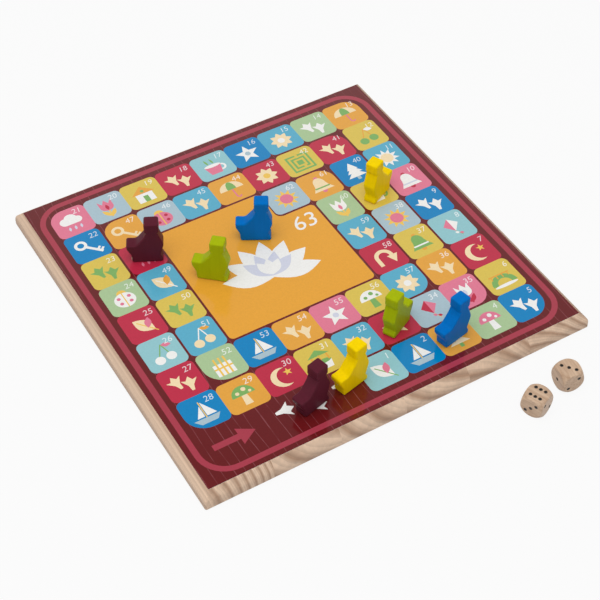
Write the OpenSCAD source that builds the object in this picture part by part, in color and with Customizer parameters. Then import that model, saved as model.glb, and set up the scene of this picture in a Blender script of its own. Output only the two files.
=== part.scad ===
// Game of the goose: a bevelled pine board of edge-glued staves under a printed sheet, with eight
// goose pawns standing on it and two dice lying in front of it.
// Millimetres, +Z up. The origin is the centre of the board's underside. +X runs along the front
// edge, across the staves, and +Y runs along the grain to the back.

/* [Board] */
// Side of the square board
board_side = 300; // [270:1:360]
// Thickness of the pine panel
board_t = 12; // [9:0.5:18]
// How far the top bevel reaches in from each side
bevel_run = 4.8; // [2:0.1:8]
// How far the top bevel drops down each side
bevel_drop = 5; // [2:0.1:7]
// Radius of the four upright corners
corner_r = 3; // [1:0.5:8]
// Chamfer round the underside
foot_chamfer = 0.6; // [0.2:0.1:1.5]

/* [Printed sheet] */
// Thickness of the sheet with its gloss film
sheet_t = 0.4; // [0.2:0.1:1]
// Bare wood between the sheet's edge and the bevel
sheet_reveal = 0.7; // [0:0.1:3]
// Printed border outside the track of tiles
track_margin = 11.7; // [5:0.05:20]

/* [Goose pawn] */
// Height of a pawn
pawn_h = 36; // [33:0.5:45]
// Thickness of the board that pawns are cut from
pawn_t = 9.6; // [6:0.2:14]
// Length of the flat base
base_len = 22; // [19:0.5:28]
// Height of the blunt toe at the base's front end
toe_h = 2.8; // [2.6:0.1:4.5]
// How far the instep over the toe is cut in behind it
instep_in = 1.6; // [0.5:0.1:3]
// Height of the instep
instep_z = 6.2; // [5.5:0.1:8]
// How far the chest stands out beyond the base
chest_out = 1.4; // [0.5:0.1:3]
// Height of the fullest part of the chest
chest_z = 16; // [13:0.5:19]
// Length of the head
head_len = 10.4; // [9:0.1:12]
// Height of the head
head_h = 7.4; // [6:0.1:9]
// How far the head stays behind the base's front end
head_set = 1.2; // [0:0.1:2.5]
// How far the chin overhangs the throat
chin_over = 1.2; // [1:0.1:2]
// Width of the neck under the head
neck_w = 8.2; // [7:0.1:8.6]
// Height of the shoulder, where the neck runs into the back
shoulder_z = 23; // [20:0.5:24]
// Height of the hollow between back and tail
rump_z = 16; // [14:0.1:17]
// How far the tail reaches out behind the base
tail_out = 3.5; // [2:0.1:5]
// Height of the tail's top
tail_z = 16.4; // [15:0.1:18]
// Height of the tail's blunt end
tail_h = 4.2; // [3.4:0.1:6]
// Radius that eases every edge of a pawn
arris_r = 1.2; // [0.6:0.1:1.6]
// Clear space between the two pawns that queue at the start
queue_gap = 3.8; // [0.5:0.1:8]

/* [Dice] */
// Edge of a die
die_edge = 16; // [12:0.5:20]
// How much of each corner of a die is rounded away
corner_cut = 2.66; // [1.5:0.01:3]
// Diameter of a pip
pip_d = 2.5; // [1.5:0.1:3]
// Depth of a pip
pip_depth = 0.5; // [0.2:0.1:0.8]
// Distance of the outer pips from the middle of a face
pip_off = 3.6; // [2.5:0.1:4]
// Clear space between the board's front edge and the nearer die
dice_front_gap = 24.4; // [10:0.1:60]
// Clear space between the two dice
dice_gap = 14.7; // [8:0.1:40]

/* [Hidden] */
$fn = 96;
STAVES = [for (i = [1:6]) str("stave_", i)];
stave_w = board_side / len(STAVES);

// The track is a square of tiles on the sheet
tiles_per_side = 9;
sheet_side = board_side - 2 * (bevel_run + sheet_reveal);
tile_pitch = (sheet_side - 2 * track_margin) / tiles_per_side;
play_z = board_t + sheet_t;

// Radii of a pawn's outline, which the eased edge fits inside with a little to spare
round_spare = 0.24;
round_r = arris_r + round_spare;
notch_r = 1;
instep_r = 2;
chest_r = 6;
back_r = 5;
rump_r = 4;
// Steps in a full turn round a rounded corner, and steps round an eased edge
turn_steps = 24;
arris_steps = 3;

// Side view of a pawn: forward and up from the middle of the base
heel_x = -base_len / 2;
toe_x = base_len / 2;
face_x = toe_x - head_set;
crown_x = face_x - head_len;
throat_x = face_x - chin_over;
nape_x = throat_x - neck_w;
jaw_z = pawn_h - head_h;
jaw_rise = 1.4;
throat_z = jaw_z - jaw_rise;
neck_lean = 1.9;
rump_in = 3.7;
tail_tuck = 0.4;
tail_root_out = 0.3;
tail_root_z = 6.5;
pawn_len = tail_out + base_len + chest_out;
// Corners of that view, counter-clockwise from the heel: forward, up and radius
GOOSE = [
    [heel_x, 0, round_r],
    [toe_x, 0, round_r],
    [toe_x, toe_h, round_r],
    [toe_x - instep_in, instep_z, instep_r],
    [toe_x + chest_out, chest_z, chest_r],
    [throat_x, throat_z, notch_r],
    [face_x, jaw_z, round_r],
    [face_x, pawn_h, round_r],
    [crown_x, pawn_h, round_r],
    [crown_x, jaw_z, round_r],
    [nape_x, throat_z, notch_r],
    [nape_x - neck_lean, shoulder_z, back_r],
    [heel_x + rump_in, rump_z, rump_r],
    [heel_x - tail_out, tail_z, round_r],
    [heel_x - tail_out + tail_tuck, tail_z - tail_h, round_r],
    [heel_x - tail_root_out, tail_root_z, chest_r]
];

// Two pawns queue at the start, one behind the other and a little to its left
queue_place = [-1.837, -4.055] * tile_pitch;
queue_angle = 14;
queue_side = 5.1;
queue_lead = pawn_len + queue_gap;
lead_place = queue_place + queue_lead * [cos(queue_angle), sin(queue_angle)]
    + queue_side * [sin(queue_angle), -cos(queue_angle)];
// Name, colour, place from the board's centre, counted in tiles, and heading from +X of each pawn
PAWNS = [
    ["maroon_pawn_1", "#4a1a24", [-2.907, 1.907] * tile_pitch, -27],
    ["maroon_pawn_2", "#4a1a24", queue_place, queue_angle],
    ["blue_pawn_1", "#005b9f", [-0.311, 1.199] * tile_pitch, -30],
    ["blue_pawn_2", "#005b9f", [1.945, -3.986] * tile_pitch, 12],
    ["green_pawn_1", "#8fa31c", [-1.839, 0.549] * tile_pitch, -42],
    ["green_pawn_2", "#8fa31c", [1.011, -3.062] * tile_pitch, 207],
    ["yellow_pawn_1", "#e8c800", [3.03, 0.939] * tile_pitch, 206],
    ["yellow_pawn_2", "#e8c800", lead_place, queue_angle - 1]
];

// Ball that rounds a die, and balls that sink its pips
die_ball_r = die_edge * sqrt(3) / 2 - corner_cut;
pip_ball_r = (pow(pip_d / 2, 2) + pow(pip_depth, 2)) / (2 * pip_depth);
CORNER_PIPS = [for (u = [-1, 1], v = [-1, 1]) [u, v]];
// Turn that brings the top to each face of a die, and that face's pips
DIE_FACES = [
    [[0, -90, 0], [[0, 0]]],
    [[90, 0, 0], [[-1, -1], [1, 1]]],
    [[0, 0, 0], [[-1, 1], [0, 0], [1, -1]]],
    [[180, 0, 0], CORNER_PIPS],
    [[-90, 0, 0], concat(CORNER_PIPS, [[0, 0]])],
    [[0, 90, 0], concat(CORNER_PIPS, [[-1, 0], [1, 0]])]
];
dice_x = 75.4;
dice_stagger = 7;
near_die_y = -(board_side + die_edge) / 2 - dice_front_gap;
// Name, place, heading and roll of each die
DICE = [
    ["die_1", [dice_x, near_die_y - dice_stagger], 23, [0, -90, 0]],
    ["die_2", [dice_x + die_edge + dice_gap, near_die_y], -7, [0, 0, 0]]
];

function unit(v) = v / norm(v);
function spot(corner) = [corner[0], corner[1]];
function around(list, i) = list[(i + len(list)) % len(list)];

// Points of the arc that rounds corner i, with the whole outline drawn in by inset
function corner_arc(corners, i, inset) =
    let (
        tip = spot(corners[i]),
        back = unit(spot(around(corners, i - 1)) - tip),
        ahead = unit(spot(around(corners, i + 1)) - tip),
        r = corners[i][2],
        side = cross(ahead, back) > 0 ? 1 : -1,
        half = acos(back * ahead) / 2,
        centre = tip + unit(back + ahead) * r / sin(half),
        first = tip + back * r / tan(half) - centre,
        start = atan2(first[1], first[0]),
        sweep = side * (180 - 2 * half),
        steps = ceil(abs(sweep) * turn_steps / 360)
    )
    [
        for (k = [0:steps])
            let (turn = start + sweep * k / steps)
            centre + (r - side * inset) * [cos(turn), sin(turn)]
    ];

// Closed outline of rounded corners, drawn in by inset
function outline(corners, inset) =
    [for (i = [0:len(corners) - 1]) each corner_arc(corners, i, inset)];

// Above 0 where the way from a over b to c turns left
function turn_left(a, b, c) = cross(b - a, c - b);

// Whether p lies in the triangle of a, b and c
function holds(a, b, c, p) =
    turn_left(a, b, p) > 0 && turn_left(b, c, p) > 0 && turn_left(c, a, p) > 0;

// Whether the corner at place k of the loop can be cut off with no other point inside it
function is_ear(points, loop, k) =
    let (
        a = points[around(loop, k - 1)],
        b = points[loop[k]],
        c = points[around(loop, k + 1)]
    )
    turn_left(a, b, c) > 0 && len([for (i = loop) if (holds(a, b, c, points[i])) i]) == 0;

// Triangles that fill a counter-clockwise loop of points, cut off one ear at a time
function filled(points, loop) =
    len(loop) == 3 ? [loop] :
    let (k = [for (i = [0:len(loop) - 1]) if (is_ear(points, loop, i)) i][0])
    concat(
        [[around(loop, k - 1), loop[k], around(loop, k + 1)]],
        filled(points, [for (i = [0:len(loop) - 1]) if (i != k) loop[i]])
    );

// Section of the panel: chamfered foot, upright edge, bevelled top
module panel_section() {
    half = board_side / 2;
    shoulder = board_t - bevel_drop;
    polygon([
        [foot_chamfer - half, 0], [half - foot_chamfer, 0], [half, foot_chamfer],
        [half, shoulder], [half - bevel_run, board_t], [bevel_run - half, board_t],
        [-half, shoulder], [-half, foot_chamfer]
    ]);
}

// Square with its four corners rounded
module rounded_square(side, r) {
    square([side, side - 2 * r], center = true);
    square([side - 2 * r, side], center = true);
    for (x = [-1, 1], y = [-1, 1])
        translate([x, y] * (side / 2 - r)) circle(r);
}

// The whole panel: the same section both ways, inside its upright corners
module panel() {
    intersection() {
        rotate([90, 0, 0]) linear_extrude(board_side, center = true) panel_section();
        rotate([90, 0, 90]) linear_extrude(board_side, center = true) panel_section();
        linear_extrude(board_t) rounded_square(board_side, corner_r);
    }
}

// One stave of the panel, counted from the left
module stave(i) {
    color("#dcb98f")
    intersection() {
        panel();
        translate([i * stave_w - board_side / 2, -board_side / 2, 0])
            cube([stave_w, board_side, board_t]);
    }
}

// Printed sheet with its gloss film, glued on the panel's flat top
module printed_sheet() {
    color("#4a1c22")
    translate([0, 0, board_t])
    linear_extrude(sheet_t) square(sheet_side, center = true);
}

// Goose cut from flat board, its edges eased by a quarter round on both sides
module goose_pawn(pawn) {
    eased = [
        for (k = [0:arris_steps])
            let (a = 90 * k / arris_steps)
            [pawn_t / 2 - arris_r * (1 - cos(a)), arris_r * (1 - sin(a))]
    ];
    layers = concat(
        [for (e = eased) [-e[0], e[1]]],
        [for (k = [arris_steps:-1:0]) eased[k]]
    );
    rings = [for (l = layers) [for (p = outline(GOOSE, l[1])) [p[0], l[0], p[1]]]];
    n = len(rings[0]);
    last = len(rings) - 1;
    walls = [
        for (j = [0:last - 1], i = [0:n - 1])
            let (here = j * n + i, next = j * n + (i + 1) % n)
            each [[here, next, next + n], [here, next + n, here + n]]
    ];
    flank = filled(outline(GOOSE, arris_r), [for (i = [0:n - 1]) i]);
    right_flank = [for (t = flank) [t[2], t[1], t[0]]];
    left_flank = [for (t = flank) t + last * n * [1, 1, 1]];
    color(pawn[1])
    translate([pawn[2][0], pawn[2][1], play_z])
    rotate(pawn[3])
    polyhedron([for (r = rings) each r], concat(walls, right_flank, left_flank));
}

// Cube rounded by a ball, with its pips sunk in
module die(d) {
    color("#e0bc8a")
    translate([d[1][0], d[1][1], die_edge / 2])
    rotate(d[2])
    rotate(d[3])
    difference() {
        intersection() {
            cube(die_edge, center = true);
            sphere(die_ball_r);
        }
        for (f = DIE_FACES, p = f[1])
            rotate(f[0])
            translate([p[0] * pip_off, p[1] * pip_off, die_edge / 2 + pip_ball_r - pip_depth])
                sphere(pip_ball_r);
    }
}

for (i = [0:len(STAVES) - 1])
    stave(i);
printed_sheet();
for (p = PAWNS)
    goose_pawn(p);
for (d = DICE)
    die(d);
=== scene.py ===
# Looks of a game of the goose board: pine panel, glossy printed track, lacquered pawns and wooden dice.
# Lengths in comments and constants are millimetres unless they say otherwise; Blender works in metres.
import math
from functools import partial

import bmesh
import bpy
from bpy.props import FloatProperty, FloatVectorProperty, PointerProperty
from mathutils import Matrix, Vector
from mathutils.geometry import delaunay_2d_cdt


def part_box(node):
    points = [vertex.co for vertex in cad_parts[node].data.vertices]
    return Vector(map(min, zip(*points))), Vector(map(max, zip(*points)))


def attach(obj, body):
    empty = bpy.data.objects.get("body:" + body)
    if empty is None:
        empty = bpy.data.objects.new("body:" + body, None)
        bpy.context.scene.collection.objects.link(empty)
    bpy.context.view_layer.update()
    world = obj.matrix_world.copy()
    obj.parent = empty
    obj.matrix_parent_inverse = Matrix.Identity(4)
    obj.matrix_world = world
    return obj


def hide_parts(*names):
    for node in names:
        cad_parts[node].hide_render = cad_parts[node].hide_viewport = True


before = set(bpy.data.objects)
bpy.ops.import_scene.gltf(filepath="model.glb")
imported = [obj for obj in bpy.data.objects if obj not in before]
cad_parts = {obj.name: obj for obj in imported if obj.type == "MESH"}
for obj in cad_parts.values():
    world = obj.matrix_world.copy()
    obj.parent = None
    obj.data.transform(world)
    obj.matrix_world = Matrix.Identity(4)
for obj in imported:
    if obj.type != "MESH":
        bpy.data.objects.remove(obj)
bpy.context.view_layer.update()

bl_info = {
    "name": "Game of the goose board",
    "version": (1, 0, 0),
    "blender": (4, 5, 0),
    "location": "View3D > Sidebar > Goose board",
    "description": "Dresses the packed board, pawns and dice in wood, print and lacquer",
    "category": "Object",
}

MM = 0.001


def linear(code):
    """Linear RGBA of an sRGB hex colour such as #a83a4a."""
    channels = [int(code[i:i + 2], 16) / 255 for i in (1, 3, 5)]
    curve = [c / 12.92 if c <= 0.04045 else ((c + 0.055) / 1.055) ** 2.4 for c in channels]
    return (*curve, 1.0)


def length(name, description, size):
    """A length that a user may change, given in millimetres."""
    return FloatProperty(name=name, description=description, default=size * MM, min=0, unit="LENGTH")


def colour(name, description, code):
    """A colour that a user may change, given as sRGB hex."""
    return FloatVectorProperty(
        name=name, description=description, default=linear(code), size=4, min=0, max=1, subtype="COLOR"
    )


class PanelSettings(bpy.types.PropertyGroup):
    """Sizes and colours of the pine panel."""

    slope_run: length("Slope run", "How far the sloped edge reaches in from the wall", 4.8)
    slope_drop: length("Slope drop", "How far the sloped edge falls from the top", 5)
    corner: length("Corner radius", "Rounding of the panel's upright corners", 1.4)
    foot: length("Eased foot", "Reach of the rounding along the underside", 1)
    shoulder: length("Soft shoulder", "Reach of the rounding where the slope meets the wall", 3)
    rim: length("Eased rim", "Reach of the rounding where the slope meets the top", 0.42)
    ring_width: length("Ring width", "Growth of the pine in one year", 4.4)
    early: colour("Early wood", "Pale spring growth", "#e4c5aa")
    late: colour("Late wood", "Darker summer growth", "#b08c72")


class PrintSettings(bpy.types.PropertyGroup):
    """Sizes and inks of the printed sheet."""

    margin: length("Track margin", "Printed border outside the track", 11.7)
    ring_gap: length("Ring gap", "Dark line between two rounds of the track", 1.7)
    tile_radius: length("Tile radius", "Rounding of a tile's corners", 4.4)
    soft_turn: length("Soft turn", "Outer rounding where the track turns", 12)
    wide_turn: length("Wide turn", "Outer rounding at the widest turns", 15)
    stripe_out: length("Stripe distance", "From the track to the middle of the border stripe", 5.5)
    stripe_width: length("Stripe width", "Width of the border stripe", 4.2)
    stripe_radius: length("Stripe radius", "Rounding of the border stripe's corners", 20)
    number_height: length("Number height", "Height of the numbers on the tiles", 5)
    goal_height: length("Goal number height", "Height of the number on the goal", 14)
    plank_gap: length("Plank gap", "Distance between the ground's drawn plank lines", 7)
    ground: colour("Ground", "Printed ground", "#69171a")
    plank: colour("Plank line", "Thin lines drawn on the ground", "#8d4a4f")
    stripe: colour("Stripe", "Border stripe", "#ab3b4c")
    red: colour("Red", "Red ink", "#c12b47")
    blue: colour("Blue", "Blue ink", "#0084c2")
    sky: colour("Sky", "Sky blue ink", "#5bafcc")
    light: colour("Light blue", "Light blue ink", "#94c8cf")
    pale: colour("Pale blue", "Pale blue ink", "#acc4cf")
    orange: colour("Orange", "Orange ink", "#e8a640")
    yellow: colour("Yellow", "Yellow ink", "#dec354")
    green: colour("Green", "Light green ink", "#acc898")
    pink: colour("Pink", "Pink ink", "#e47c96")
    goal: colour("Goal", "Ground of the goal", "#eba636")
    white: colour("White", "Unprinted white", "#f4f3f0")
    cream: colour("Cream", "Cream ink", "#f6dfb4")
    lilac: colour("Lilac", "Pale lilac ink", "#d3d6e6")
    gold: colour("Gold", "Golden ink", "#f2c65a")
    leaf: colour("Leaf", "Leaf green ink", "#7fb262")


class PawnSettings(bpy.types.PropertyGroup):
    """Sizes and lacquers of the pawns."""

    thickness: length("Thickness", "Board that the pawns are cut from", 9.6)
    arris: length("Arris", "Rounding along every edge", 1.2)
    maroon: colour("Maroon", "Maroon lacquer", "#5c2230")
    blue: colour("Blue", "Blue lacquer", "#0070c4")
    green: colour("Green", "Green lacquer", "#a8b80c")
    yellow: colour("Yellow", "Yellow lacquer", "#fcd800")


class DiceSettings(bpy.types.PropertyGroup):
    """Sizes and colours of the dice."""

    edge: length("Edge", "Edge of a die", 16)
    ball: length("Ball", "Radius of the ball that rounds a die", 11.2)
    pip: length("Pip", "Diameter of a pip", 2.5)
    pip_depth: length("Pip depth", "Depth of a pip", 0.5)
    pip_out: length("Pip distance", "From the middle of a face to its outer pips", 3.6)
    wood: colour("Wood", "Pale wood", "#d6b89c")
    vein: colour("Vein", "Darker grain", "#b8967a")
    paint: colour("Paint", "Paint in the pips", "#1c1712")


class StageSettings(bpy.types.PropertyGroup):
    """Light and floor of the studio."""

    floor: colour("Floor", "Pale studio floor", "#d6d6d6")
    ambient: FloatProperty(name="Ambient", description="Even light from all round", default=0.55, min=0)
    key: FloatProperty(name="Key", description="Overhead soft light", default=14, min=0, unit="POWER")


# Kinds of node that are used most. A noise's scale is per metre on Object, and per millimetre on grain.
MATH = "ShaderNodeMath"
VECTOR = "ShaderNodeVectorMath"
NOISE = "ShaderNodeTexNoise"
RANGE = "ShaderNodeMapRange"
ATTRIBUTE = "ShaderNodeAttribute"
PLACES = "ShaderNodeTexCoord"
COMBINE = "ShaderNodeCombineXYZ"
RAMP = "ShaderNodeValToRGB"
MIX = "ShaderNodeMix"
BUMP = "ShaderNodeBump"
SHADER = "ShaderNodeBsdfPrincipled"
# Bounds that hold most of a noise, for a range to spread
NOISE_SPAN = (0.3, 0.7)


def node(tree, kind, sockets=(), operation=None, **settings):
    """Adds a node with its settings, and fills its sockets with values, sockets or nodes' first outputs."""
    made = tree.nodes.new(kind)
    if operation:
        made.operation = operation
    for key, value in settings.items():
        setattr(made, key, value)
    for key, value in sockets.items() if isinstance(sockets, dict) else enumerate(sockets):
        source = value.outputs[0] if isinstance(value, bpy.types.Node) else value
        if isinstance(source, bpy.types.NodeSocket):
            tree.links.new(source, made.inputs[key])
        else:
            made.inputs[key].default_value = source
    return made


def new_material(name):
    """A material without nodes, and the function that adds a node to it."""
    made = bpy.data.materials.new(name)
    made.use_nodes = True
    made.node_tree.nodes.clear()
    return made, partial(node, made.node_tree)


def shaded(made, shader):
    """The material with that shader on its surface."""
    node(made.node_tree, "ShaderNodeOutputMaterial", {"Surface": shader})
    return made


def stops(ramp, colours):
    """Sets a colour ramp's stops from {position: RGBA}."""
    elements = ramp.color_ramp.elements
    while len(elements) < len(colours):
        elements.new(1.0)
    for element, (position, rgba) in zip(elements, sorted(colours.items())):
        element.position = position
        element.color = rgba


# Distance from the pith at which a ring has its set width; rings further out are narrower
RING_REACH = 43
# How far a ring wanders from its circle, in rings
RING_WANDER = 0.5
# Fine lines in one broad ring, and how each darkens along its share
FINE_LINES = 4
FINE_LINE = (0.4, 0.9, 1.0, 0.87)


def bare_pine(settings):
    """Sanded bare pine: rings as arcs on end grain and streaks along the sides, with fine lines between."""
    made, add = new_material("bare_sanded_pine")
    grain = add(ATTRIBUTE, attribute_name="grain").outputs["Vector"]
    out = add(VECTOR, [grain, (1, 0, 1)], "MULTIPLY")
    square = add(VECTOR, [out, out], "DOT_PRODUCT").outputs["Value"]
    year = 2 * RING_REACH * settings.ring_width / MM
    age = add(MATH, [square, year], "DIVIDE")
    drawn = add(VECTOR, [grain, (1, 0.06, 1)], "MULTIPLY")
    wander = add(NOISE, {"Vector": drawn, "Scale": 1 / 14})
    years = add(MATH, [wander, RING_WANDER, age], "MULTIPLY_ADD")
    season = add(MATH, [years], "FRACT")
    ring = add(RAMP, {"Fac": season})
    stops(ring, {0.0: settings.early, 0.3: settings.early, 0.8: settings.late, 1.0: settings.early})
    fibre = add(VECTOR, [grain, (1, 0.02, 1)], "MULTIPLY")
    streak = add(NOISE, {"Vector": fibre, "Scale": 1.4, "Detail": 3})
    tone = add(RANGE, [streak, *NOISE_SPAN, 0.93, 1.04])
    cloud = add(NOISE, {"Vector": drawn, "Scale": 1 / 2.4, "Detail": 3})
    depth = add(RANGE, [cloud, *NOISE_SPAN, 0.92, 1.06])
    cut = add(MATH, [years, FINE_LINES], "MULTIPLY")
    part = add(MATH, [cut], "FRACT")
    line = add(RANGE, [part, *FINE_LINE])
    lined = add(MATH, [tone, line], "MULTIPLY")
    mottle = add(MATH, [lined, depth], "MULTIPLY")
    toned = add(VECTOR, {0: ring, "Scale": mottle}, "SCALE")
    bump = add(BUMP, {"Height": streak, "Strength": 0.25, "Distance": 0.1 * MM})
    return shaded(made, add(SHADER, {"Base Color": toned, "Roughness": 0.55, "IOR": 1.5, "Normal": bump}))


# How far a drawn plank line sways, and its darkness across a plank and along itself
PLANK_SWAY = 9
PLANK_LINE = (0.03, 0.09, 1.0, 0.0)
PLANK_FADE = (0.35, 0.65, 0.15, 1.0)


def gloss_print(settings):
    """Offset print under gloss film: flat, faintly mottled inks, wavy plank lines and clear reflections."""
    made, add = new_material("gloss_film_over_offset_print")
    place = add(PLACES).outputs["Object"]
    ink = add(ATTRIBUTE, attribute_name="tint").outputs["Color"]
    bare = add(ATTRIBUTE, attribute_name="bare_ground").outputs["Fac"]
    drawn = add(VECTOR, [place, (1, 0.3, 1)], "MULTIPLY")
    sway = add(NOISE, {"Vector": drawn, "Scale": 1 / (25 * MM), "Detail": 1})
    x = add("ShaderNodeSeparateXYZ", [place]).outputs["X"]
    bent = add(MATH, [sway, PLANK_SWAY * MM, x], "MULTIPLY_ADD")
    planks = add(MATH, [bent, settings.plank_gap], "DIVIDE")
    part = add(MATH, [planks], "FRACT")
    line = add(RANGE, [part, *PLANK_LINE])
    fade = add(NOISE, {"Vector": place, "Scale": 1 / (9 * MM)})
    seen = add(RANGE, [fade, *PLANK_FADE])
    faint = add(MATH, [line, seen], "MULTIPLY")
    shown = add(MATH, [faint, bare], "MULTIPLY")
    drawing = add(MIX, {0: shown, 6: ink, 7: settings.plank}, data_type="RGBA").outputs[2]
    speck = add(NOISE, {"Vector": place, "Scale": 1 / (1.2 * MM), "Detail": 3})
    tone = add(RANGE, [speck, *NOISE_SPAN, 0.96, 1.03])
    toned = add(VECTOR, {0: drawing, "Scale": tone}, "SCALE")
    gloss = add(RANGE, [speck, *NOISE_SPAN, 0.1, 0.16])
    bump = add(BUMP, {"Height": speck, "Strength": 0.05, "Distance": 0.02 * MM})
    return shaded(made, add(SHADER, {"Base Color": toned, "Roughness": gloss, "IOR": 1.5, "Normal": bump}))


def paper_edge():
    """Cut edge and back of the sheet: white uncoated paper with a soft fibre mottle."""
    made, add = new_material("white_paper_edge")
    place = add(PLACES).outputs["Object"]
    pulp = add(NOISE, {"Vector": place, "Scale": 1 / (0.8 * MM)})
    shade = add(RAMP, {"Fac": pulp})
    stops(shade, {0.3: linear("#e2dccf"), 0.7: linear("#f1ece2")})
    return shaded(made, add(SHADER, {"Base Color": shade, "Roughness": 0.8}))


def lacquer(name, tint):
    """Coloured lacquer on sanded wood: deep even colour, the grain just showing, soft clear highlights."""
    made, add = new_material(name)
    grain = add(ATTRIBUTE, attribute_name="grain").outputs["Vector"]
    drawn = add(VECTOR, [grain, (1, 1, 0.08)], "MULTIPLY")
    streak = add(NOISE, {"Vector": drawn, "Scale": 0.5})
    tone = add(RANGE, [streak, *NOISE_SPAN, 0.95, 1.03])
    paint = add(VECTOR, {0: tint[:3], "Scale": tone}, "SCALE")
    peel = add(NOISE, {"Vector": grain, "Scale": 0.6})
    gloss = add(RANGE, [peel, *NOISE_SPAN, 0.28, 0.36])
    bump = add(BUMP, {"Height": streak, "Strength": 0.08, "Distance": 0.05 * MM})
    coat = {"Base Color": paint, "Roughness": gloss, "Specular IOR Level": 0.05, "Normal": bump}
    return shaded(made, add(SHADER, coat))


def dice_wood(settings):
    """Tumbled pale hardwood under wax: short veins and pores, black paint sunk in the pips."""
    made, add = new_material("waxed_pale_dice_wood")
    grain = add(ATTRIBUTE, attribute_name="grain").outputs["Vector"]
    pip = add(ATTRIBUTE, attribute_name="pip").outputs["Fac"]
    drawn = add(VECTOR, [grain, (1, 0.12, 1)], "MULTIPLY")
    vein = add(NOISE, {"Vector": drawn, "Scale": 0.7, "Detail": 4})
    wood = add(RAMP, {"Fac": vein})
    stops(wood, {0.3: settings.vein, 0.68: settings.wood})
    skin = add(MIX, {0: pip, 6: wood, 7: settings.paint}, data_type="RGBA").outputs[2]
    bump = add(BUMP, {"Height": vein, "Strength": 0.2, "Distance": 0.08 * MM})
    return shaded(made, add(SHADER, {"Base Color": skin, "Roughness": 0.42, "IOR": 1.5, "Normal": bump}))


def linked(name, data):
    """A new object in the scene."""
    made = bpy.data.objects.new(name, data)
    bpy.context.scene.collection.objects.link(made)
    return made


def add_piece(name, mesh, body, slot, *replaced):
    """Puts a finished mesh in the scene, riding on a body and standing for CAD nodes."""
    piece = linked(name, mesh)
    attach(piece, body)
    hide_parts(*replaced)


def set_grain(mesh, places):
    """Stores where each vertex lies in the wood, in millimetres, for the grain to follow."""
    grain = mesh.attributes.new("grain", "FLOAT_VECTOR", "POINT")
    grain.data.foreach_set("vector", [c / MM for place in places for c in place])


def new_tree(name, values):
    """A new Geometry Nodes tree, the sockets of its inputs, and the function that adds a node to it."""
    tree = bpy.data.node_groups.new(name, "GeometryNodeTree")
    tree.interface.new_socket("Geometry", in_out="INPUT", socket_type="NodeSocketGeometry")
    for label in values:
        kind = "NodeSocketMaterial" if label == "Material" else "NodeSocketFloat"
        tree.interface.new_socket(label, in_out="INPUT", socket_type=kind)
    tree.interface.new_socket("Geometry", in_out="OUTPUT", socket_type="NodeSocketGeometry")
    add = partial(node, tree)
    return tree, add("NodeGroupInput").outputs, add


def close_tree(add, geometry, material):
    """Ends a tree: instances made real, material set, result out."""
    real = add("GeometryNodeRealizeInstances", {"Geometry": geometry})
    dressed = add("GeometryNodeSetMaterial", {"Geometry": real, "Material": material})
    add("NodeGroupOutput", {"Geometry": dressed})


def plain_mesh(holder):
    """The mesh that an object comes to, with the object removed."""
    depsgraph = bpy.context.evaluated_depsgraph_get()
    mesh = bpy.data.meshes.new_from_object(holder.evaluated_get(depsgraph))
    bpy.data.objects.remove(holder)
    return mesh


def grown(mesh, tree, values):
    """The plain mesh that a tree makes of a mesh, with the tree's inputs set by name."""
    holder = linked("holder", mesh)
    modifier = holder.modifiers.new("tree", "NODES")
    modifier.node_group = tree
    for item in tree.interface.items_tree:
        if item.in_out == "INPUT" and item.name in values:
            modifier[item.identifier] = values[item.name]
    return plain_mesh(holder)


# Points closer than this are one
SAME_PLACE = 0.001 * MM
# Largest turn between two points on a rounded corner
CORNER_STEP = math.radians(9)


def outline(corners, inset=0.0):
    """Points of an outline with rounded corners (x, y, radius), counter-clockwise, drawn in by inset."""
    points = []
    for i, (x, y, radius) in enumerate(corners):
        tip = Vector((x, y))
        back = (Vector(corners[i - 1][:2]) - tip).normalized()
        ahead = (Vector(corners[(i + 1) % len(corners)][:2]) - tip).normalized()
        side = 1 if ahead.cross(back) > 0 else -1
        half = math.acos(back.dot(ahead)) / 2
        centre = tip + (back + ahead).normalized() * radius / math.sin(half)
        first = tip + back * radius / math.tan(half) - centre
        start = math.atan2(first.y, first.x)
        sweep = side * (math.pi - 2 * half)
        steps = math.ceil(abs(sweep) / CORNER_STEP)
        for k in range(steps + 1):
            a = start + sweep * k / steps
            points.append(centre + (radius - side * inset) * Vector((math.cos(a), math.sin(a))))
    return points


def closed(bm, name):
    """The mesh of a closed bmesh, its faces turned outwards."""
    bmesh.ops.recalc_face_normals(bm, faces=bm.faces)
    mesh = bpy.data.meshes.new(name)
    bm.to_mesh(mesh)
    bm.free()
    return mesh


def lofted(name, rings):
    """A closed mesh through rings of points, capped at both ends, its sides shaded smooth."""
    bm = bmesh.new()
    loops = [[bm.verts.new(point) for point in ring] for ring in rings]
    for loop, after in zip(loops, loops[1:]):
        for k in range(len(loop)):
            bm.faces.new((loop[k - 1], loop[k], after[k], after[k - 1])).smooth = True
    bm.faces.new(loops[0])
    bm.faces.new(loops[-1])
    bmesh.ops.remove_doubles(bm, verts=bm.verts, dist=SAME_PLACE)
    return closed(bm, name)


# Pine panel

STAVES = [f"stave_{i}" for i in range(1, 7)]
# Heart of the tree that each stave was sawn from, across from the stave's middle and up, and its growth
PITHS = (
    (-42.3, -3, 1.2), (54.1, 102.7, 3.09), (71.1, 101.3, 3.11),
    (41.9, 105.2, 2.69), (-32.1, -43.3, 2.12), (-30.5, -51.9, 1.44),
)
# Turn past which an edge is shaded sharp, and steps in a rounded edge
SHARP_EDGE = math.radians(25)
ROUND_STEPS = 6


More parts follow.
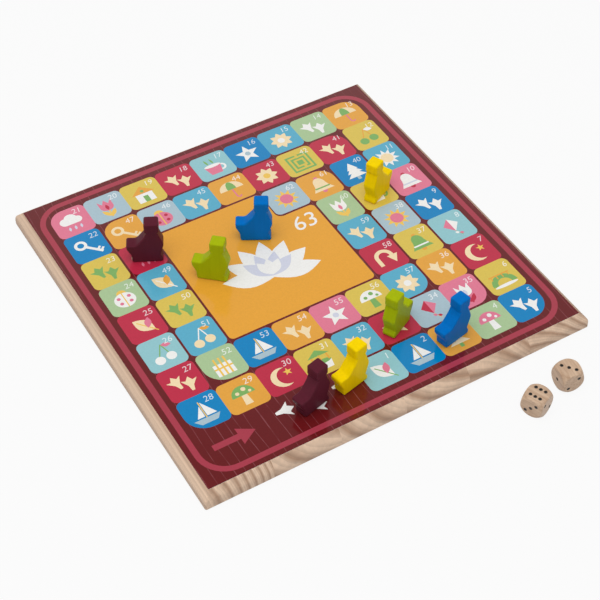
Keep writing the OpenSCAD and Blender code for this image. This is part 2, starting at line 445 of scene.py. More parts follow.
def edge_profile(settings, height):
    """Inset and height of points up the panel's edge, from underside to top, round its three corners."""
    run = settings.slope_run
    wall = height - settings.slope_drop
    path = [Vector(p) for p in ((run, 0), (0, 0), (0, wall), (run, height), (2 * run, height))]
    reaches = (settings.foot, settings.shoulder, settings.rim)
    points = []
    for before, tip, after, reach in zip(path, path[1:], path[2:], reaches):
        start = tip + (before - tip).normalized() * reach
        end = tip + (after - tip).normalized() * reach
        for k in range(ROUND_STEPS + 1):
            t = k / ROUND_STEPS
            points.append(start.lerp(tip, t).lerp(tip.lerp(end, t), t))
    return points


def stave_mesh(low, high, left, right, settings):
    """A stave along Y with the panel's edge at its ends and, if left or right is true, on that side."""
    rings = []
    for inset, z in edge_profile(settings, high.z - low.z):
        radius = max(settings.corner - inset, settings.rim)
        x0, x1 = low.x + inset * left, high.x - inset * right
        y0, y1 = low.y + inset, high.y - inset
        r0, r1 = radius * left, radius * right
        corners = [(x0, y0, r0), (x1, y0, r1), (x1, y1, r1), (x0, y1, r0)]
        rings.append([(*point, low.z + z) for point in outline(corners)])
    mesh = lofted("stave", rings)
    mesh.set_sharp_from_angle(angle=SHARP_EDGE)
    return mesh


class GOOSE_OT_staves(bpy.types.Operator):
    """Make the six pine staves of the panel"""

    bl_idname = "goose.staves"
    bl_label = "Pine staves"

    def execute(self, context):
        settings = context.scene.goose_panel
        pine = bare_pine(settings)
        for name, (across, up, growth) in zip(STAVES, PITHS):
            low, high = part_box(name)
            mesh = stave_mesh(low, high, name == STAVES[0], name == STAVES[-1], settings)
            pith = Vector(((low.x + high.x) / 2 + across * MM, 0, up * MM))
            set_grain(mesh, [(v.co - pith) / growth for v in mesh.vertices])
            mesh.materials.append(pine)
            add_piece(f"pine_{name}", mesh, "board", "pine", name)
        return {"FINISHED"}


# Printed sheet: the track

TILES_PER_SIDE = 9
MIDDLE_TILE = (TILES_PER_SIDE + 1) / 2
# Tiles in each straight run of the track, from the first tile inwards; each run turns left into the next
RUNS = (5, 8, 8, 7, 7, 6, 6, 5, 5, 4, 1)
FIRST_TILE = Vector((5, 1))
WAYS = [Vector(way) for way in ((1, 0), (0, 1), (-1, 0), (0, -1))]
# Tiles at the widest turns, and points on a tile's rounded corner
WIDE_TURNS = (5, 28, 52)
CORNER_POINTS = 7
# Inks of the tiles in order
TILE_INKS = (
    "light blue orange green blue yellow red light blue pink sky yellow orange green sky blue light red "
    "yellow pale pink blue yellow green red light red blue orange red yellow sky red pale pink orange "
    "yellow pale yellow blue red yellow red orange sky pale orange red sky yellow sky green blue orange "
    "pink yellow sky red sky green orange pale"
).split()
# Inks of the pictures on each ground
PICTURE_INKS = {
    "red": "cream pink gold",
    "blue": "white pale gold",
    "sky": "cream orange white",
    "light": "white pink leaf",
    "pale": "pink red gold",
    "orange": "cream leaf pink",
    "yellow": "leaf white orange",
    "green": "white pink gold",
    "pink": "white lilac red",
}


def track():
    """Column and row, quarter turns of the heading and whether the track turns, for each tile in order."""
    cell = FIRST_TILE - WAYS[0]
    for leg, run in enumerate(RUNS):
        for step in range(run):
            cell = cell + WAYS[leg % 4]
            turns = step == run - 1 and leg < len(RUNS) - 1
            yield cell, leg % 4, turns


def sheet_sizes(settings):
    """Half the sheet, half the track and the tiles' pitch, in metres."""
    low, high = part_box("printed_sheet")
    half_sheet = (high.x - low.x) / 2
    half_track = half_sheet - settings.margin
    return half_sheet, half_track, 2 * half_track / TILES_PER_SIDE


def tile_tree(values):
    """Tree that lays a rounded tile on every point, with a wider outer corner where the track turns."""
    tree, given, add = new_tree("Track tiles", values)
    pitch = given["Pitch"]
    radius = given["Corner radius"]
    width = add(MATH, [pitch, given["Ring gap"]], "SUBTRACT")
    both = add(MATH, [pitch, width], "ADD")
    mean = add(MATH, [both, 0.5], "MULTIPLY")
    shift = add(MATH, [given["Ring gap"], 0.25], "MULTIPLY")
    back = add(MATH, [shift, -1.0], "MULTIPLY")
    aside = add(COMBINE, [back, shift])
    # The rectangle's points start back right and run counter-clockwise, so the last is the outer corner
    index = add("GeometryNodeInputIndex")
    outer = add("FunctionNodeCompare", {2: index, 3: 3}, "EQUAL", data_type="INT")
    quarter = add("GeometryNodeInputNamedAttribute", {"Name": "quarter"})
    angle = add(MATH, [quarter, math.pi / 2], "MULTIPLY")
    euler = add(COMBINE, {2: angle})
    heading = add("FunctionNodeEulerToRotation", [euler])
    kind = add("GeometryNodeInputNamedAttribute", {"Name": "turn"}, data_type="INT")
    joined = add("GeometryNodeJoinGeometry")
    for number, wide in enumerate((radius, given["Soft turn"], given["Wide turn"])):
        sides = {"Width": mean, "Height": mean} if number else {"Width": pitch, "Height": width}
        move = {"Translation": aside} if number else {}
        square = add("GeometryNodeCurvePrimitiveQuadrilateral", sides)
        moved = add("GeometryNodeTransform", {"Geometry": square, **move})
        reach = add("GeometryNodeSwitch", [outer, radius, wide], input_type="FLOAT")
        bend = {"Curve": moved, "Count": CORNER_POINTS, "Radius": reach}
        rounded = add("GeometryNodeFilletCurve", bend, mode="POLY")
        tile = add("GeometryNodeFillCurve", {"Curve": rounded}, mode="NGONS")
        wanted = add("FunctionNodeCompare", {2: kind, 3: number}, "EQUAL", data_type="INT")
        laid = add("GeometryNodeInstanceOnPoints", {
            "Points": given["Geometry"], "Selection": wanted, "Instance": tile, "Rotation": heading,
        })
        tree.links.new(laid.outputs[0], joined.inputs[0])
    close_tree(add, joined, given["Material"])
    return tree


def tile_mesh(settings, material):
    """All tiles as flat polygons, each carrying its tile's number."""
    pitch = sheet_sizes(settings)[2]
    cells = list(track())
    middle = Vector((1, 1)) * MIDDLE_TILE
    points = bpy.data.meshes.new("tile_points")
    points.from_pydata([(*((cell - middle) * pitch), 0) for cell, *_ in cells], [], [])
    kinds = [(1 + (i in WIDE_TURNS)) if turns else 0 for i, (_, _, turns) in enumerate(cells, 1)]
    marks = {
        "quarter": [quarter for _, quarter, _ in cells],
        "turn": kinds,
        "number": list(range(1, len(cells) + 1)),
    }
    for name, column in marks.items():
        points.attributes.new(name, "INT", "POINT").data.foreach_set("value", column)
    values = {
        "Pitch": pitch,
        "Ring gap": settings.ring_gap,
        "Corner radius": settings.tile_radius,
        "Soft turn": settings.soft_turn,
        "Wide turn": settings.wide_turn,
        "Material": material,
    }
    return grown(points, tile_tree(values), values)


# Printed sheet: pictures, drawn on a tile that is 1 wide and 1 high

# Degrees between two points of an arc, and steps along a blade
ARC_STEP = 15
BLADE_STEPS = 8


def arc(x, y, rx, ry=None, start=0, end=360):
    """Points round an ellipse, from one angle to another in degrees."""
    steps = math.ceil(abs(end - start) / ARC_STEP)
    angles = [math.radians(start + (end - start) * k / steps) for k in range(steps + (end - start < 360))]
    return [(x + rx * math.cos(a), y + (ry or rx) * math.sin(a)) for a in angles]


def placed(points, x=0, y=0, turn=0, size=1):
    """Points made larger or smaller, turned and moved."""
    c, s = math.cos(math.radians(turn)) * size, math.sin(math.radians(turn)) * size
    return [(x + px * c - py * s, y + px * s + py * c) for px, py in points]


def blade(tall, wide, x=0, y=0, turn=0):
    """A petal or leaf that stands on x, y and is pointed at both ends."""
    shares = [k / BLADE_STEPS for k in range(BLADE_STEPS + 1)]
    side = [(wide / 2 * math.sin(math.pi * share), tall * share) for share in shares]
    return placed(side + [(-px, py) for px, py in side[-2:0:-1]], x, y, turn)


def bar(x0, y0, x1, y1, wide=0.04):
    """A straight stroke."""
    run = Vector((x1 - x0, y1 - y0))
    dx, dy = Vector((-run.y, run.x)).normalized() * wide / 2
    return [(x0 - dx, y0 - dy), (x1 - dx, y1 - dy), (x1 + dx, y1 + dy), (x0 + dx, y0 + dy)]


def star(points, outer, inner, x=0, y=0):
    """A star with one point up."""
    angles = [math.pi * (0.5 + k / points) for k in range(2 * points)]
    return [(x + r * math.cos(a), y + r * math.sin(a)) for r, a in zip([outer, inner] * points, angles)]


def box(x0, y0, x1, y1):
    """An upright rectangle."""
    return [(x0, y0), (x1, y0), (x1, y1), (x0, y1)]


# A webbed foot
WEB = (
    (-0.05, -0.32), (0.05, -0.32), (0.1, -0.08), (0.3, 0.2), (0.13, 0.15), (0, 0.34),
    (-0.13, 0.15), (-0.3, 0.2), (-0.1, -0.08),
)

# Each picture is a list of areas, from the back to the front: which of the tile's inks, and its points.
# The ink -1 is the tile's own ground.
PICTURES = {
    "feet": [(0, placed(WEB, -0.15, 0.07, 14, 0.68)), (0, placed(WEB, 0.14, -0.1, -6, 0.68))],
    "bridge": [
        (1, arc(0, -0.26, 0.34, 0.05)),
        (0, arc(0, -0.22, 0.36, 0.34, 0, 180) + arc(0, -0.22, 0.2, 0.2, 180, 0)),
        (2, bar(-0.3, 0.12, 0.3, 0.12)),
        *[(2, bar(x, 0, x, 0.14, 0.03)) for x in (-0.24, -0.08, 0.08, 0.24)],
    ],
    "inn": [
        (1, box(-0.24, -0.3, 0.24, 0.06)), (2, [(-0.33, 0.04), (0.33, 0.04), (0, 0.33)]),
        (0, box(-0.06, -0.3, 0.08, -0.06)), (0, arc(0, 0.14, 0.05)),
    ],
    "well": [
        (1, [(-0.24, -0.06), (-0.19, -0.3), (0.19, -0.3), (0.24, -0.06)]), (0, arc(0, -0.06, 0.24, 0.07)),
        *[(2, bar(x, -0.06, x, 0.18)) for x in (-0.2, 0.2)],
        (0, [(-0.3, 0.14), (0.3, 0.14), (0, 0.34)]), (2, bar(0, 0.16, 0, -0.02, 0.02)),
    ],
    "maze": [
        *[(-1 if k % 2 else 0, box(-s, -s, s, s)) for k, s in enumerate((0.33, 0.27, 0.21, 0.15, 0.09))],
        (-1, box(-0.03, 0.2, 0.05, 0.34)), (-1, box(0.02, -0.22, 0.1, -0.14)),
    ],
    "bars": [
        (0, box(-0.24, -0.3, 0.24, 0.08) + arc(0, 0.08, 0.24, 0.24, 0, 180)),
        *[(2, bar(x, -0.3, x, 0.27, 0.05)) for x in (-0.13, 0, 0.13)],
        (2, bar(-0.24, -0.06, 0.24, -0.06, 0.05)),
    ],
    "turn_back": [
        (0, arc(0, 0.02, 0.26, 0.26, -10, 180) + arc(0, 0.02, 0.15, 0.15, 180, -10)),
        (0, box(-0.26, -0.26, -0.15, 0.04)), (0, [(0.06, 0), (0.36, 0), (0.2, -0.28)]),
    ],
    "star": [(0, star(5, 0.34, 0.15)), (1, arc(0, 0, 0.08))],
    "daisy": [*[(0, blade(0.32, 0.17, 0, 0, 45 * k)) for k in range(8)], (2, arc(0, 0, 0.1))],
    "leaf": [
        (0, blade(0.64, 0.36, 0.22, -0.24, 40)), (2, bar(0.27, -0.3, -0.12, 0.16, 0.03)),
        (1, blade(0.36, 0.18, 0.08, -0.12, -20)),
    ],
    "mushroom": [
        (0, [(-0.1, -0.3), (0.1, -0.3), (0.07, 0.02), (-0.07, 0.02)]), (1, arc(0, 0, 0.3, 0.3, 0, 180)),
        (0, arc(-0.13, 0.1, 0.05)), (0, arc(0.06, 0.17, 0.06)), (0, arc(0.18, 0.06, 0.04)),
    ],
    "boat": [
        (1, [(-0.34, -0.14), (-0.2, -0.3), (0.22, -0.3), (0.34, -0.14)]), (2, bar(0, -0.14, 0, 0.36, 0.03)),
        (0, [(0.03, -0.1), (0.28, -0.1), (0.03, 0.34)]), (0, [(-0.03, -0.1), (-0.03, 0.24), (-0.22, -0.1)]),
    ],
    "moon": [
        (0, arc(0, 0, 0.3, 0.3, 60, 300) + arc(0.12, 0, 0.26, 0.26, 270, 90)),
        (2, star(5, 0.12, 0.05, 0.18, 0.1)),
    ],
    "sun": [(2, star(10, 0.35, 0.2)), (0, arc(0, 0, 0.18))],
    "cherries": [
        (2, bar(-0.14, -0.1, 0.06, 0.3, 0.03)), (2, bar(0.16, -0.08, 0.06, 0.3, 0.03)),
        (0, arc(-0.15, -0.17, 0.13)), (0, arc(0.16, -0.14, 0.13)), (1, blade(0.26, 0.14, 0.06, 0.28, -105)),
    ],
    "umbrella": [
        (2, bar(0, -0.3, 0, 0.1)),
        (2, arc(0.06, -0.28, 0.07, 0.07, 180, 360) + arc(0.06, -0.28, 0.03, 0.03, 360, 180)),
        (0, arc(0, 0.02, 0.34, 0.3, 0, 180)), (1, arc(0, 0.02, 0.13, 0.3, 0, 180)),
    ],
    "bell": [
        (2, arc(0, -0.24, 0.07)), (2, arc(0, 0.28, 0.06)),
        (0, [(-0.3, -0.22), (0.3, -0.22), (0.2, -0.06)] + arc(0, 0.06, 0.17, 0.22, 0, 180) + [(-0.2, -0.06)]),
        (1, bar(-0.22, -0.1, 0.22, -0.1, 0.05)),
    ],
    "kite": [
        (0, [(0, -0.14), (0.22, 0.12), (0, 0.34)]), (1, [(0, -0.14), (0, 0.34), (-0.22, 0.12)]),
        (2, bar(0, -0.14, 0.1, -0.34, 0.02)),
        (0, blade(0.12, 0.08, 0.05, -0.23, 60)), (1, blade(0.12, 0.08, 0.05, -0.23, -120)),
    ],
    "tree": [
        (1, box(-0.05, -0.34, 0.05, -0.2)),
        *[(0, [(-w, y), (w, y), (0, y + 0.28)]) for w, y in ((0.28, -0.22), (0.22, -0.06), (0.16, 0.08))],
    ],
    "cloud": [
        (0, arc(-0.15, 0.08, 0.14)), (0, arc(0.03, 0.14, 0.18)),
        (0, arc(0.2, 0.06, 0.12)), (0, box(-0.16, -0.06, 0.2, 0.06)),
        *[(1, blade(0.16, 0.07, x, -0.3, -8)) for x in (-0.14, 0.02, 0.18)],
    ],
    "tulip": [
        (2, bar(0, -0.34, 0, 0)), (2, blade(0.34, 0.12, 0, -0.32, 35)), (2, blade(0.3, 0.12, 0, -0.32, -35)),
        (0, [
            *arc(0, 0.08, 0.19, 0.16, 180, 360),
            (0.19, 0.33), (0.09, 0.18), (0, 0.34), (-0.09, 0.18), (-0.19, 0.33),
        ]),
        (1, blade(0.22, 0.1, 0, -0.06)),
    ],
    "ladybird": [
        (2, arc(0, 0.18, 0.13)), (0, arc(0, -0.04, 0.28, 0.25)), (2, bar(0, -0.29, 0, 0.21, 0.03)),
        *[(1, arc(x, y, 0.05)) for x, y in ((-0.14, 0.05), (0.14, 0.05), (-0.13, -0.13), (0.13, -0.13))],
    ],
    "key": [
        (0, arc(-0.16, 0.14, 0.17)), (-1, arc(-0.16, 0.14, 0.09)), (0, bar(-0.05, 0.03, 0.28, -0.3, 0.08)),
        (0, bar(0.17, -0.2, 0.27, -0.1, 0.06)), (0, bar(0.24, -0.27, 0.34, -0.17, 0.06)),
    ],
    "cup": [
        (0, arc(0.2, -0.08, 0.13)), (-1, arc(0.2, -0.08, 0.07)),
        (1, [(-0.26, 0.06), (-0.18, -0.28), (0.14, -0.28), (0.22, 0.06)]), (0, arc(-0.02, 0.06, 0.24, 0.06)),
        *[(2, blade(0.24, 0.06, x, 0.12, 12)) for x in (-0.1, 0.06)],
    ],
}
# Pictures of the tiles in order; webbed feet mark the tiles that send a player on
TILE_PICTURES = (
    "leaf boat tree mushroom feet bridge moon kite feet bell sun cherries umbrella feet daisy star cup "
    "feet inn tulip cloud key feet ladybird leaf cherries feet boat mushroom moon well feet star kite "
    "tulip feet bell sun cup tree feet maze daisy umbrella feet ladybird key cloud leaf feet cherries "
    "bars boat feet star mushroom daisy turn_back feet tulip bell sun"
).split()


def water_lily():
    """The goal's picture, counted in tiles: a white lily with lilac inner petals."""
    outer = [("white", blade(1.25, 0.5, 0, -0.55, turn)) for turn in (-82, 82, -55, 55, -28, 28, 0)]
    inner = [("lilac", blade(0.82, 0.34, 0, -0.5, turn)) for turn in (-48, 48, -18, 18)]
    heart = [("white", blade(0.55, 0.26, 0, -0.46, turn)) for turn in (-30, 30, 0)]
    return outer + inner + heart


def start_pictures():
    """The start's pictures, counted in tiles from the track's corner: an arrow and webbed footprints."""
    shaft = box(0.2, 0.42, 0.9, 0.58)
    head = [(0.85, 0.26), (1.25, 0.5), (0.85, 0.74)]
    steps = [placed(WEB, x, y, -90, 0.7) for x, y in ((2.05, 0.62), (2.75, 0.36), (3.5, 0.62))]
    return [("stripe", shaft), ("stripe", head)] + [("white", step) for step in steps]


# Printed sheet: one flat face, cut up into areas of ink

# Height of a figure as a share of its type size, its slant, and steps in each of its curves
FIGURE_SHARE = 0.7
FIGURE_SLANT = 0.15
FIGURE_STEPS = 3
# Area under which a part of a figure is left out
SLIVER = (0.02 * MM) ** 2
# In tiles: from the back right corner to the number, the picture's size, and its drop below the middle
FIGURE_INSET = 0.11
PICTURE_SIZE = 0.95
PICTURE_DROP = 0.04
# White in the ink of a tile's number
NUMBER_WHITE = 0.65
# Distance within which the cutting of the sheet joins points
SNAP = 0.01
# The goal's corners, counted in tiles from the board's middle, with a notch for the last tile
GOAL = ((-2.5, -1.5), (1.5, -1.5), (1.5, 1.5), (0.5, 1.5), (0.5, 2.5), (-2.5, 2.5))
GOAL_NUMBER = (1.3, 1.28)
LILY_PLACE = (-0.5, 0.3)
LILY_TURN = -12


def square_corners(half, third):
    """Corners of a square round the middle, each with a radius or height as its third value."""
    return [(x * half, y * half, third) for x, y in ((-1, -1), (1, -1), (1, 1), (-1, 1))]


def figures(words, height, x, y):
    """Areas of slanted figures whose top right corner is at x, y."""
    curve = bpy.data.curves.new("figures", "FONT")
    curve.body = words
    curve.size = height / FIGURE_SHARE
    curve.shear = FIGURE_SLANT
    curve.resolution_u = FIGURE_STEPS
    curve.align_x = "RIGHT"
    mesh = plain_mesh(linked("figures", curve))
    places = [(x + v.co.x, y - height + v.co.y) for v in mesh.vertices]
    solid = [polygon for polygon in mesh.polygons if polygon.area > SLIVER]
    return [[places[i] for i in polygon.vertices] for polygon in solid]


def inked_areas(settings, tiles):
    """Every printed area from the ground up: its ink as RGBA, and its points in metres."""
    half_sheet, half_track, pitch = sheet_sizes(settings)
    areas = [(settings.ground, [(x, y) for x, y, _ in square_corners(half_sheet, 0)])]
    band = square_corners(half_track + settings.stripe_out, settings.stripe_radius)
    outer = outline(band, -settings.stripe_width / 2)
    inner = outline(band, settings.stripe_width / 2)
    for k in range(len(inner)):
        areas.append((settings.stripe, [inner[k - 1], outer[k - 1], outer[k], inner[k]]))
    goal = outline([(x * pitch, y * pitch, settings.tile_radius) for x, y in GOAL], settings.ring_gap / 2)
    areas.append((settings.goal, goal))
    for ink, points in water_lily():
        spot = placed(points, *LILY_PLACE, LILY_TURN)
        areas.append((getattr(settings, ink), placed(spot, size=pitch)))
    for ink, points in start_pictures():
        areas.append((getattr(settings, ink), placed(points, -half_track, -half_track, 0, pitch)))
    numbers = tiles.attributes["number"].data
    cells = [cell for cell, *_ in track()]
    for polygon in tiles.polygons:
        index = numbers[polygon.vertices[0]].value - 1
        ground = TILE_INKS[index]
        own = getattr(settings, ground)
        inks = PICTURE_INKS[ground].split()
        areas.append((own, [tiles.vertices[i].co.xy for i in polygon.vertices]))
        x, y = (c - MIDDLE_TILE for c in cells[index])
        for ink, points in PICTURES[TILE_PICTURES[index]]:
            shown = own if ink < 0 else getattr(settings, inks[ink])
            spot = placed(points, x, y - PICTURE_DROP, 0, PICTURE_SIZE)
            areas.append((shown, placed(spot, size=pitch)))
        corner = [(c + 0.5 - FIGURE_INSET) * pitch for c in (x, y)]
        number_ink = (*[c + (1 - c) * NUMBER_WHITE for c in own[:3]], 1.0)
        for points in figures(str(index + 1), settings.number_height, *corner):
            areas.append((number_ink, points))
    corner = [c * pitch for c in GOAL_NUMBER]
    for points in figures(str(len(cells) + 1), settings.goal_height, *corner):
        areas.append((settings.white, points))
    return areas


def counter_clockwise(points):
    """The same loop of points, turning left."""
    area = sum(a[0] * b[1] - b[0] * a[1] for a, b in zip(points, points[1:] + points[:1]))
    return points if area > 0 else points[::-1]


def printed_face(areas, low, high):
    """Sheet whose flat top is cut along every printed area, each part tinted by the uppermost area."""
    corners = []
    loops = []
    for _, points in areas:
        loop = counter_clockwise([Vector((x / MM, y / MM)) for x, y in points])
        loops.append(list(range(len(corners), len(corners) + len(loop))))
        corners += loop
    # The 1 asks for the triangles inside any area
    verts, _, faces, _, _, covers = delaunay_2d_cdt(corners, [], loops, 1, SNAP)
    bm = bmesh.new()
    tint = bm.loops.layers.float_color.new("tint")
    bare = bm.loops.layers.float.new("bare_ground")
    tops = [bm.verts.new((v.x * MM, v.y * MM, high.z)) for v in verts]
    for face, cover in zip(faces, covers):
        made = bm.faces.new([tops[i] for i in face])
        top = max(cover)
        for loop in made.loops:
            loop[tint] = areas[top][0]
            loop[bare] = float(top == 0)
    bmesh.ops.remove_doubles(bm, verts=bm.verts, dist=SAME_PLACE)
    rim = [e for e in bm.edges if e.is_boundary]
    walls = bmesh.ops.extrude_edge_only(bm, edges=rim)["geom"]
    for made in walls:
        if isinstance(made, bmesh.types.BMVert):
            made.co.z = low.z
    bmesh.ops.contextual_create(bm, geom=[e for e in bm.edges if e.is_boundary])
    for face in bm.faces:
        face.material_index = int(any(v.co.z < (low.z + high.z) / 2 for v in face.verts))
    return closed(bm, "sheet")


class GOOSE_OT_printed_sheet(bpy.types.Operator):
    """Make the printed sheet with its track, pictures and numbers"""

    bl_idname = "goose.printed_sheet"
    bl_label = "Printed sheet"

    def execute(self, context):
        settings = context.scene.goose_print
        film = gloss_print(settings)
        areas = inked_areas(settings, tile_mesh(settings, film))
        mesh = printed_face(areas, *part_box("printed_sheet"))
        mesh.materials.append(film)
        mesh.materials.append(paper_edge())
        add_piece("gloss_printed_sheet", mesh, "board", "printed_sheet", "printed_sheet")
        return {"FINISHED"}


# Goose pawns

# Side view of a pawn, counter-clockwise from the heel: forward from the middle of the base, up, and radius
GOOSE = (
    (-11, 0, 1.44), (11, 0, 1.44), (11, 2.8, 1.44), (9.4, 6.2, 2), (12.4, 16, 6), (8.6, 27.2, 1),
    (9.8, 28.6, 1.44), (9.8, 36, 1.44), (-0.6, 36, 1.44), (-0.6, 28.6, 1.44), (0.4, 27.2, 1),
    (-1.5, 23, 5), (-7.3, 16, 4), (-14.5, 16.4, 1.44), (-14.1, 12.2, 1.44), (-11.3, 6.5, 6),
)
# Headings of the two pawns of each colour, in degrees from +X
PAWNS = {"maroon": (-27, 14), "blue": (-30, 12), "green": (-42, 207), "yellow": (206, 13)}
# Steps in a pawn's rounded edge
ARRIS_STEPS = 5


def goose_mesh(thickness, arris):
    """A pawn facing +X on its base at the origin: the side view cut from board, both edges rounded over."""
    corners = [(x * MM, z * MM, r * MM) for x, z, r in GOOSE]
    eased = []
    for k in range(ARRIS_STEPS + 1):
        a = math.pi / 2 * k / ARRIS_STEPS
        eased.append((thickness / 2 - arris * (1 - math.cos(a)), arris * (1 - math.sin(a))))
    layers = [(-side, inset) for side, inset in eased] + eased[::-1]
    rings = [[(p.x, side, p.y) for p in outline(corners, inset)] for side, inset in layers]
    return lofted("goose", rings)


class GOOSE_OT_pawns(bpy.types.Operator):
    """Make the eight goose pawns"""

    bl_idname = "goose.pawns"
    bl_label = "Goose pawns"

    def execute(self, context):
        settings = context.scene.goose_pawns
        for coat, headings in PAWNS.items():
            paint = lacquer(f"{coat}_lacquer", getattr(settings, coat))
            for count, heading in enumerate(headings, 1):
                name = f"{coat}_pawn_{count}"
                mesh = goose_mesh(settings.thickness, settings.arris)
                set_grain(mesh, [v.co for v in mesh.vertices])
                mesh.transform(Matrix.Rotation(math.radians(heading), 4, "Z"))
                low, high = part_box(name)
                spans = [[v.co[axis] for v in mesh.vertices] for axis in (0, 1)]
                middle = [(min(span) + max(span)) / 2 for span in spans]
                place = ((low.x + high.x) / 2 - middle[0], (low.y + high.y) / 2 - middle[1], low.z)
                mesh.transform(Matrix.Translation(place))
                mesh.materials.append(paint)
                add_piece(f"lacquered_{name}", mesh, name, f"{coat}_lacquer", name)
        return {"FINISHED"}


# Dice

CORNER_PIPS = [(u, v) for u in (-1, 1) for v in (-1, 1)]
# Turn in degrees that brings the top to each face of a die, and that face's pips
DIE_FACES = (
    ((0, -90, 0), [(0, 0)]),
    ((90, 0, 0), [(-1, -1), (1, 1)]),
    ((0, 0, 0), [(-1, 1), (0, 0), (1, -1)]),
    ((180, 0, 0), CORNER_PIPS),
    ((-90, 0, 0), CORNER_PIPS + [(0, 0)]),
    ((0, 90, 0), CORNER_PIPS + [(-1, 0), (1, 0)]),
)
# Heading and roll of each die, in degrees
DICE = {"die_1": (23, (0, -90, 0)), "die_2": (-7, (0, 0, 0))}
# Points along each edge of a die
DIE_VERTICES = 81
# How softly the ball's surface runs into the flat faces
BALL_BLEND = 0.1
# Where the paint ends, as shares of a pip's radius
PAINT_EDGE = (0.95, 1.08)


def turned(angles):
    """Matrix of a turn about X, then Y, then Z, in degrees."""
    x, y, z = (Matrix.Rotation(math.radians(a), 4, axis) for a, axis in zip(angles, "XYZ"))
    return z @ y @ x


def die_tree(values):
    """Tree that rounds a cube by a ball and sinks a painted pip at every point."""
    tree, given, add = new_tree("Rounded die", values)
    edge = given["Edge"]
    size = add(COMBINE, [edge, edge, edge])
    counts = {f"Vertices {axis}": DIE_VERTICES for axis in "XYZ"}
    cube = add("GeometryNodeMeshCube", {"Size": size, **counts})
    place = add("GeometryNodeInputPosition")
    far = add(VECTOR, [place], "LENGTH").outputs["Value"]
    reach = add(MATH, [given["Ball radius"], far], "DIVIDE")
    kept = add(MATH, [reach, 1.0, BALL_BLEND], "SMOOTH_MIN")
    rounded = add(VECTOR, {0: place, "Scale": kept}, "SCALE")
    body = add("GeometryNodeSetPosition", {"Geometry": cube, "Position": rounded})
    near = add("GeometryNodeProximity", [given["Geometry"]], target_element="POINTS").outputs["Distance"]
    half = add(MATH, [given["Pip"], 0.5], "MULTIPLY")
    share = add(MATH, [near, half], "DIVIDE")
    square = add(MATH, [share, share], "MULTIPLY")
    cap = add(MATH, [1.0, square], "SUBTRACT", use_clamp=True)
    down = add(MATH, [given["Pip depth"], -1.0], "MULTIPLY")
    sink = add(MATH, [cap, down], "MULTIPLY")
    paint = add(RANGE, [share, *PAINT_EDGE, 1.0, 0.0])
    marked = add("GeometryNodeStoreNamedAttribute", {"Geometry": body, "Name": "pip", "Value": paint})
    normal = add("GeometryNodeInputNormal")
    inward = add(VECTOR, {0: normal, "Scale": sink}, "SCALE")
    sunk = add("GeometryNodeSetPosition", {"Geometry": marked, "Offset": inward})
    smooth = add("GeometryNodeSetShadeSmooth", {"Geometry": sunk})
    close_tree(add, smooth, given["Material"])
    return tree


class GOOSE_OT_dice(bpy.types.Operator):
    """Make the two wooden dice"""

    bl_idname = "goose.dice"
    bl_label = "Dice"

    def execute(self, context):
        settings = context.scene.goose_dice
        values = {
            "Edge": settings.edge,
            "Ball radius": settings.ball,
            "Pip": settings.pip,
            "Pip depth": settings.pip_depth,
            "Material": dice_wood(settings),
        }
        tree = die_tree(values)
        out = settings.pip_out
        pips = []
        for turn, marks in DIE_FACES:
            pips += [turned(turn) @ Vector((u * out, v * out, settings.edge / 2)) for u, v in marks]
        for name, (heading, roll) in DICE.items():
            points = bpy.data.meshes.new("pips")
            points.from_pydata(pips, [], [])
            mesh = grown(points, tree, values)
            set_grain(mesh, [v.co for v in mesh.vertices])
            low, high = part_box(name)
            mesh.transform(Matrix.Translation((low + high) / 2) @ turned((0, 0, heading)) @ turned(roll))
            add_piece(f"wooden_{name}", mesh, name, "dice_wood", name)
        return {"FINISHED"}


# Studio

# Camera at the photograph's viewing angle: place in metres, turn in degrees, lens and width of its sensor
CAMERA_PLACE = (-0.3644, -0.6405, 0.765)
CAMERA_TURN = (42.892, 0.431, -30.539)
LENS = 88.77
SENSOR = 36
# Overhead soft box: place and side in metres
KEY_PLACE = (-0.28, -0.2, 1.6)
KEY_SIDE = 1.4
# Half the floor's side in metres, and how far it lies below the object
FLOOR_HALF = 6
FLOOR_DROP = 0.1
# What gloss sees of the room: white walls up to a height on the unit sphere, and a darker ceiling
WALL_TOP = 0.6
CEILING = 0.82
CEILING_LEVEL = 0.2
# Share of plain white in what the camera and gloss see of the floor
FLOOR_WHITE = 0.9


def studio_world(settings):
    """White room for camera and gloss, with a darker ceiling in reflections, and even light for the rest."""
    world = bpy.data.worlds.new("studio")
    world.use_nodes = True
    world.node_tree.nodes.clear()
    add = partial(node, world.node_tree)
    way = add(PLACES).outputs["Generated"]
    up = add("ShaderNodeSeparateXYZ", [way]).outputs["Z"]
    room = add(RANGE, [up, WALL_TOP, CEILING, 1.0, CEILING_LEVEL])
    ray = add("ShaderNodeLightPath").outputs
    mirror = add(MATH, [ray["Is Glossy Ray"], ray["Is Transmission Ray"]], "MAXIMUM")
    level = add(MIX, {0: mirror, 2: settings.ambient, 3: room})
    shown = add(MIX, {0: ray["Is Camera Ray"], 2: level, 3: 1.0})
    sky = add("ShaderNodeBackground", {"Color": (1, 1, 1, 1), "Strength": shown})
    add("ShaderNodeOutputWorld", {"Surface": sky})
    return world


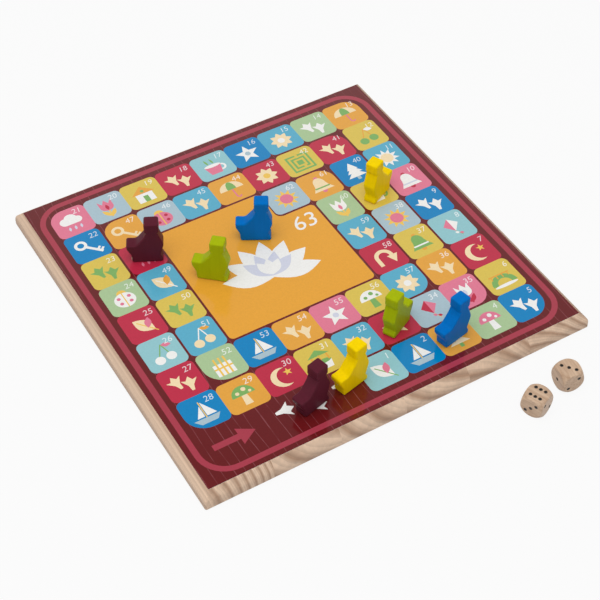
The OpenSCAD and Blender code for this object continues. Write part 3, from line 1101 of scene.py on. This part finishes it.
def studio_floor(settings):
    """Pale matt floor that the camera and gloss see as white, with the object's shadow kept."""
    made, add = new_material("pale_studio_floor")
    place = add(PLACES).outputs["Object"]
    dust = add(NOISE, {"Vector": place, "Scale": 3.0})
    tone = add(RANGE, {0: dust, 3: 0.99, 4: 1.0})
    pale = add(VECTOR, {0: settings.floor[:3], "Scale": tone}, "SCALE")
    matt = add("ShaderNodeBsdfDiffuse", {"Color": pale})
    ray = add("ShaderNodeLightPath").outputs
    direct = add(MATH, [ray["Is Camera Ray"], ray["Is Glossy Ray"]], "MAXIMUM")
    white = add("ShaderNodeEmission", {"Color": (1, 1, 1, 1), "Strength": 1.0})
    lit = add("ShaderNodeMixShader", [FLOOR_WHITE, matt, white])
    return shaded(made, add("ShaderNodeMixShader", [direct, matt, lit]))


class GOOSE_OT_stage(bpy.types.Operator):
    """Set up the camera, the floor and the light"""

    bl_idname = "goose.stage"
    bl_label = "Stage"

    def execute(self, context):
        scene = context.scene
        settings = scene.goose_stage
        scene.view_settings.view_transform = "Standard"
        lens = bpy.data.cameras.new("camera")
        lens.sensor_width = SENSOR
        lens.lens = LENS
        camera = linked("camera", lens)
        camera.location = CAMERA_PLACE
        camera.rotation_euler = [math.radians(a) for a in CAMERA_TURN]
        lamp = bpy.data.lights.new("key_softbox", "AREA")
        lamp.energy = settings.key
        lamp.size = KEY_SIDE
        key = linked("key_softbox", lamp)
        key.location = KEY_PLACE
        key.visible_glossy = False
        key.rotation_euler = (-Vector(KEY_PLACE)).to_track_quat("-Z", "Y").to_euler()
        ground = bpy.data.meshes.new("studio_floor")
        ground.from_pydata(square_corners(FLOOR_HALF, -FLOOR_DROP * MM), [], [(0, 1, 2, 3)])
        ground.materials.append(studio_floor(settings))
        floor = linked("studio_floor", ground)
        scene.camera = camera
        scene.world = studio_world(settings)
        return {"FINISHED"}


class GOOSE_PT_board(bpy.types.Panel):
    """Sidebar panel that lists the makers of the board's pieces"""

    bl_idname = "GOOSE_PT_board"
    bl_label = "Goose board"
    bl_space_type = "VIEW_3D"
    bl_region_type = "UI"
    bl_category = "Goose board"

    def draw(self, context):
        for maker in MAKERS:
            self.layout.operator(maker.bl_idname)


SETTINGS = {
    "goose_stage": StageSettings,
    "goose_panel": PanelSettings,
    "goose_print": PrintSettings,
    "goose_pawns": PawnSettings,
    "goose_dice": DiceSettings,
}
MAKERS = (GOOSE_OT_stage, GOOSE_OT_staves, GOOSE_OT_printed_sheet, GOOSE_OT_pawns, GOOSE_OT_dice)
CLASSES = (*SETTINGS.values(), *MAKERS, GOOSE_PT_board)


def register():
    for made in CLASSES:
        bpy.utils.register_class(made)
    for name, group in SETTINGS.items():
        setattr(bpy.types.Scene, name, PointerProperty(type=group))


def unregister():
    for name in SETTINGS:
        delattr(bpy.types.Scene, name)
    for made in reversed(CLASSES):
        bpy.utils.unregister_class(made)


def main():
    register()
    bpy.ops.goose.stage()
    bpy.ops.goose.staves()
    bpy.ops.goose.printed_sheet()
    bpy.ops.goose.pawns()
    bpy.ops.goose.dice()


if __name__ == "__main__":
    main()
